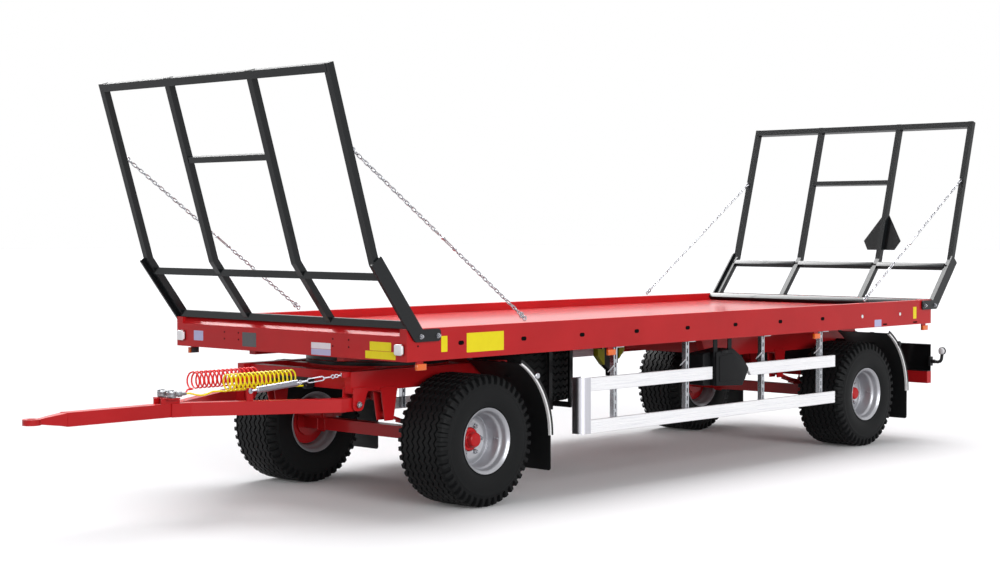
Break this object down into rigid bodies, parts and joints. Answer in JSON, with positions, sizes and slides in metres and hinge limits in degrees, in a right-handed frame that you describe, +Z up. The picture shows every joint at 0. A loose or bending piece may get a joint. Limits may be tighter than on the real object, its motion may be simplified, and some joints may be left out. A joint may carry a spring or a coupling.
{
  "type": "bale trailer",
  "caption": "Flat-deck bale trailer with leaning end frames, stay chains, two axles, a steered front bogie and a pivoting drawbar.",
  "frame": {"origin": "centre of the trailer's footprint box, on the ground", "axes": "+Z up, -Y towards the drawbar's eye, +X to the trailer's left side"},
  "size_m": [2.632, 9.5596, 3.0003],
  "materials": {
    "red_paint": "gloss red paint",
    "dark_grey_paint": "satin dark grey powder coat",
    "zinc": "zinc plated",
    "aluminium": "brushed extruded aluminium",
    "silver_paint": "silver wheel paint",
    "tyre_rubber": "tyre rubber",
    "black_plastic": "black moulded plastic",
    "yellow_hose": "yellow nylon hose",
    "red_hose": "red nylon hose",
    "yellow_chock": "yellow moulded plastic"
  },
  "bodies": {
    "platform": {"side_board_left": "red_paint", "side_board_right": "red_paint", "front_panel": "red_paint", "rear_panel": "red_paint", "deck_floor": "red_paint", "main_frame": "red_paint", "end_frame_front": "dark_grey_paint", "end_frame_rear": "dark_grey_paint", "stay_chain_front_left": "zinc", "stay_chain_front_right": "zinc", "stay_chain_rear_left": "zinc", "stay_chain_rear_right": "zinc", "slow_triangle": "black_plastic", "side_guard_left": "aluminium", "side_guard_right": "aluminium", "mudguard_rear_left": "black_plastic", "mudguard_rear_right": "black_plastic", "marker_stalk_left": "black_plastic", "marker_stalk_right": "black_plastic", "toolbox": "black_plastic", "spare_tyre": "tyre_rubber", "spare_rim": "silver_paint", "spare_carrier": "zinc", "wheel_chocks": "yellow_chock", "rear_subframe": "red_paint", "rear_axle": "red_paint", "rear_bumper": "red_paint", "lamp_board": "black_plastic"},
    "bogie": {"bogie_frame": "red_paint", "front_axle": "red_paint", "mudguard_front_left": "black_plastic", "mudguard_front_right": "black_plastic", "line_filters": "zinc"},
    "drawbar": {"drawbar_frame": "red_paint", "brake_couplings": "zinc", "yellow_coil": "yellow_hose", "red_coil": "red_hose", "yellow_tail": "yellow_hose", "red_tail": "red_hose"},
    "drawbar_spring": {"support_spring": "zinc"},
    "wheel_front_left": {"tyre_front_left": "tyre_rubber", "rim_front_left": "silver_paint", "hub_front_left": "red_paint"},
    "wheel_front_right": {"tyre_front_right": "tyre_rubber", "rim_front_right": "silver_paint", "hub_front_right": "red_paint"},
    "wheel_rear_left": {"tyre_rear_left": "tyre_rubber", "rim_rear_left": "silver_paint", "hub_rear_left": "red_paint"},
    "wheel_rear_right": {"tyre_rear_right": "tyre_rubber", "rim_rear_right": "silver_paint", "hub_rear_right": "red_paint"}
  },
  "joints": [
    {"name": "bogie_turn", "type": "hinge", "parent": "platform", "child": "bogie", "pos_m": [0, -1.79875, 1.001], "axis": [0, 0, 1], "range_deg": [-40, 40]},
    {"name": "drawbar_pitch", "type": "hinge", "parent": "bogie", "child": "drawbar", "pos_m": [0, -2.57475, 0.744], "axis": [1, 0, 0], "range_deg": [-10, 18], "deforming": ["yellow_coil", "red_coil"]},
    {"name": "spring_swing", "type": "hinge", "parent": "bogie", "child": "drawbar_spring", "pos_m": [0.585, -2.65775, 0.95], "axis": [1, 0, 0], "range_deg": [-10.9, 19.6]},
    {"name": "wheel_front_left_turn", "type": "hinge", "parent": "bogie", "child": "wheel_front_left", "pos_m": [0.913, -1.79875, 0.4655], "axis": [1, 0, 0], "continuous": true},
    {"name": "wheel_front_right_turn", "type": "hinge", "parent": "bogie", "child": "wheel_front_right", "pos_m": [-0.913, -1.79875, 0.4655], "axis": [1, 0, 0], "continuous": true},
    {"name": "wheel_rear_left_turn", "type": "hinge", "parent": "platform", "child": "wheel_rear_left", "pos_m": [0.913, 3.08525, 0.4655], "axis": [1, 0, 0], "continuous": true},
    {"name": "wheel_rear_right_turn", "type": "hinge", "parent": "platform", "child": "wheel_rear_right", "pos_m": [-0.913, 3.08525, 0.4655], "axis": [1, 0, 0], "continuous": true}
  ],
  "couplings": [
    {"joint": "spring_swing", "follows": "drawbar_pitch", "ratio": 1.085}
  ]
}
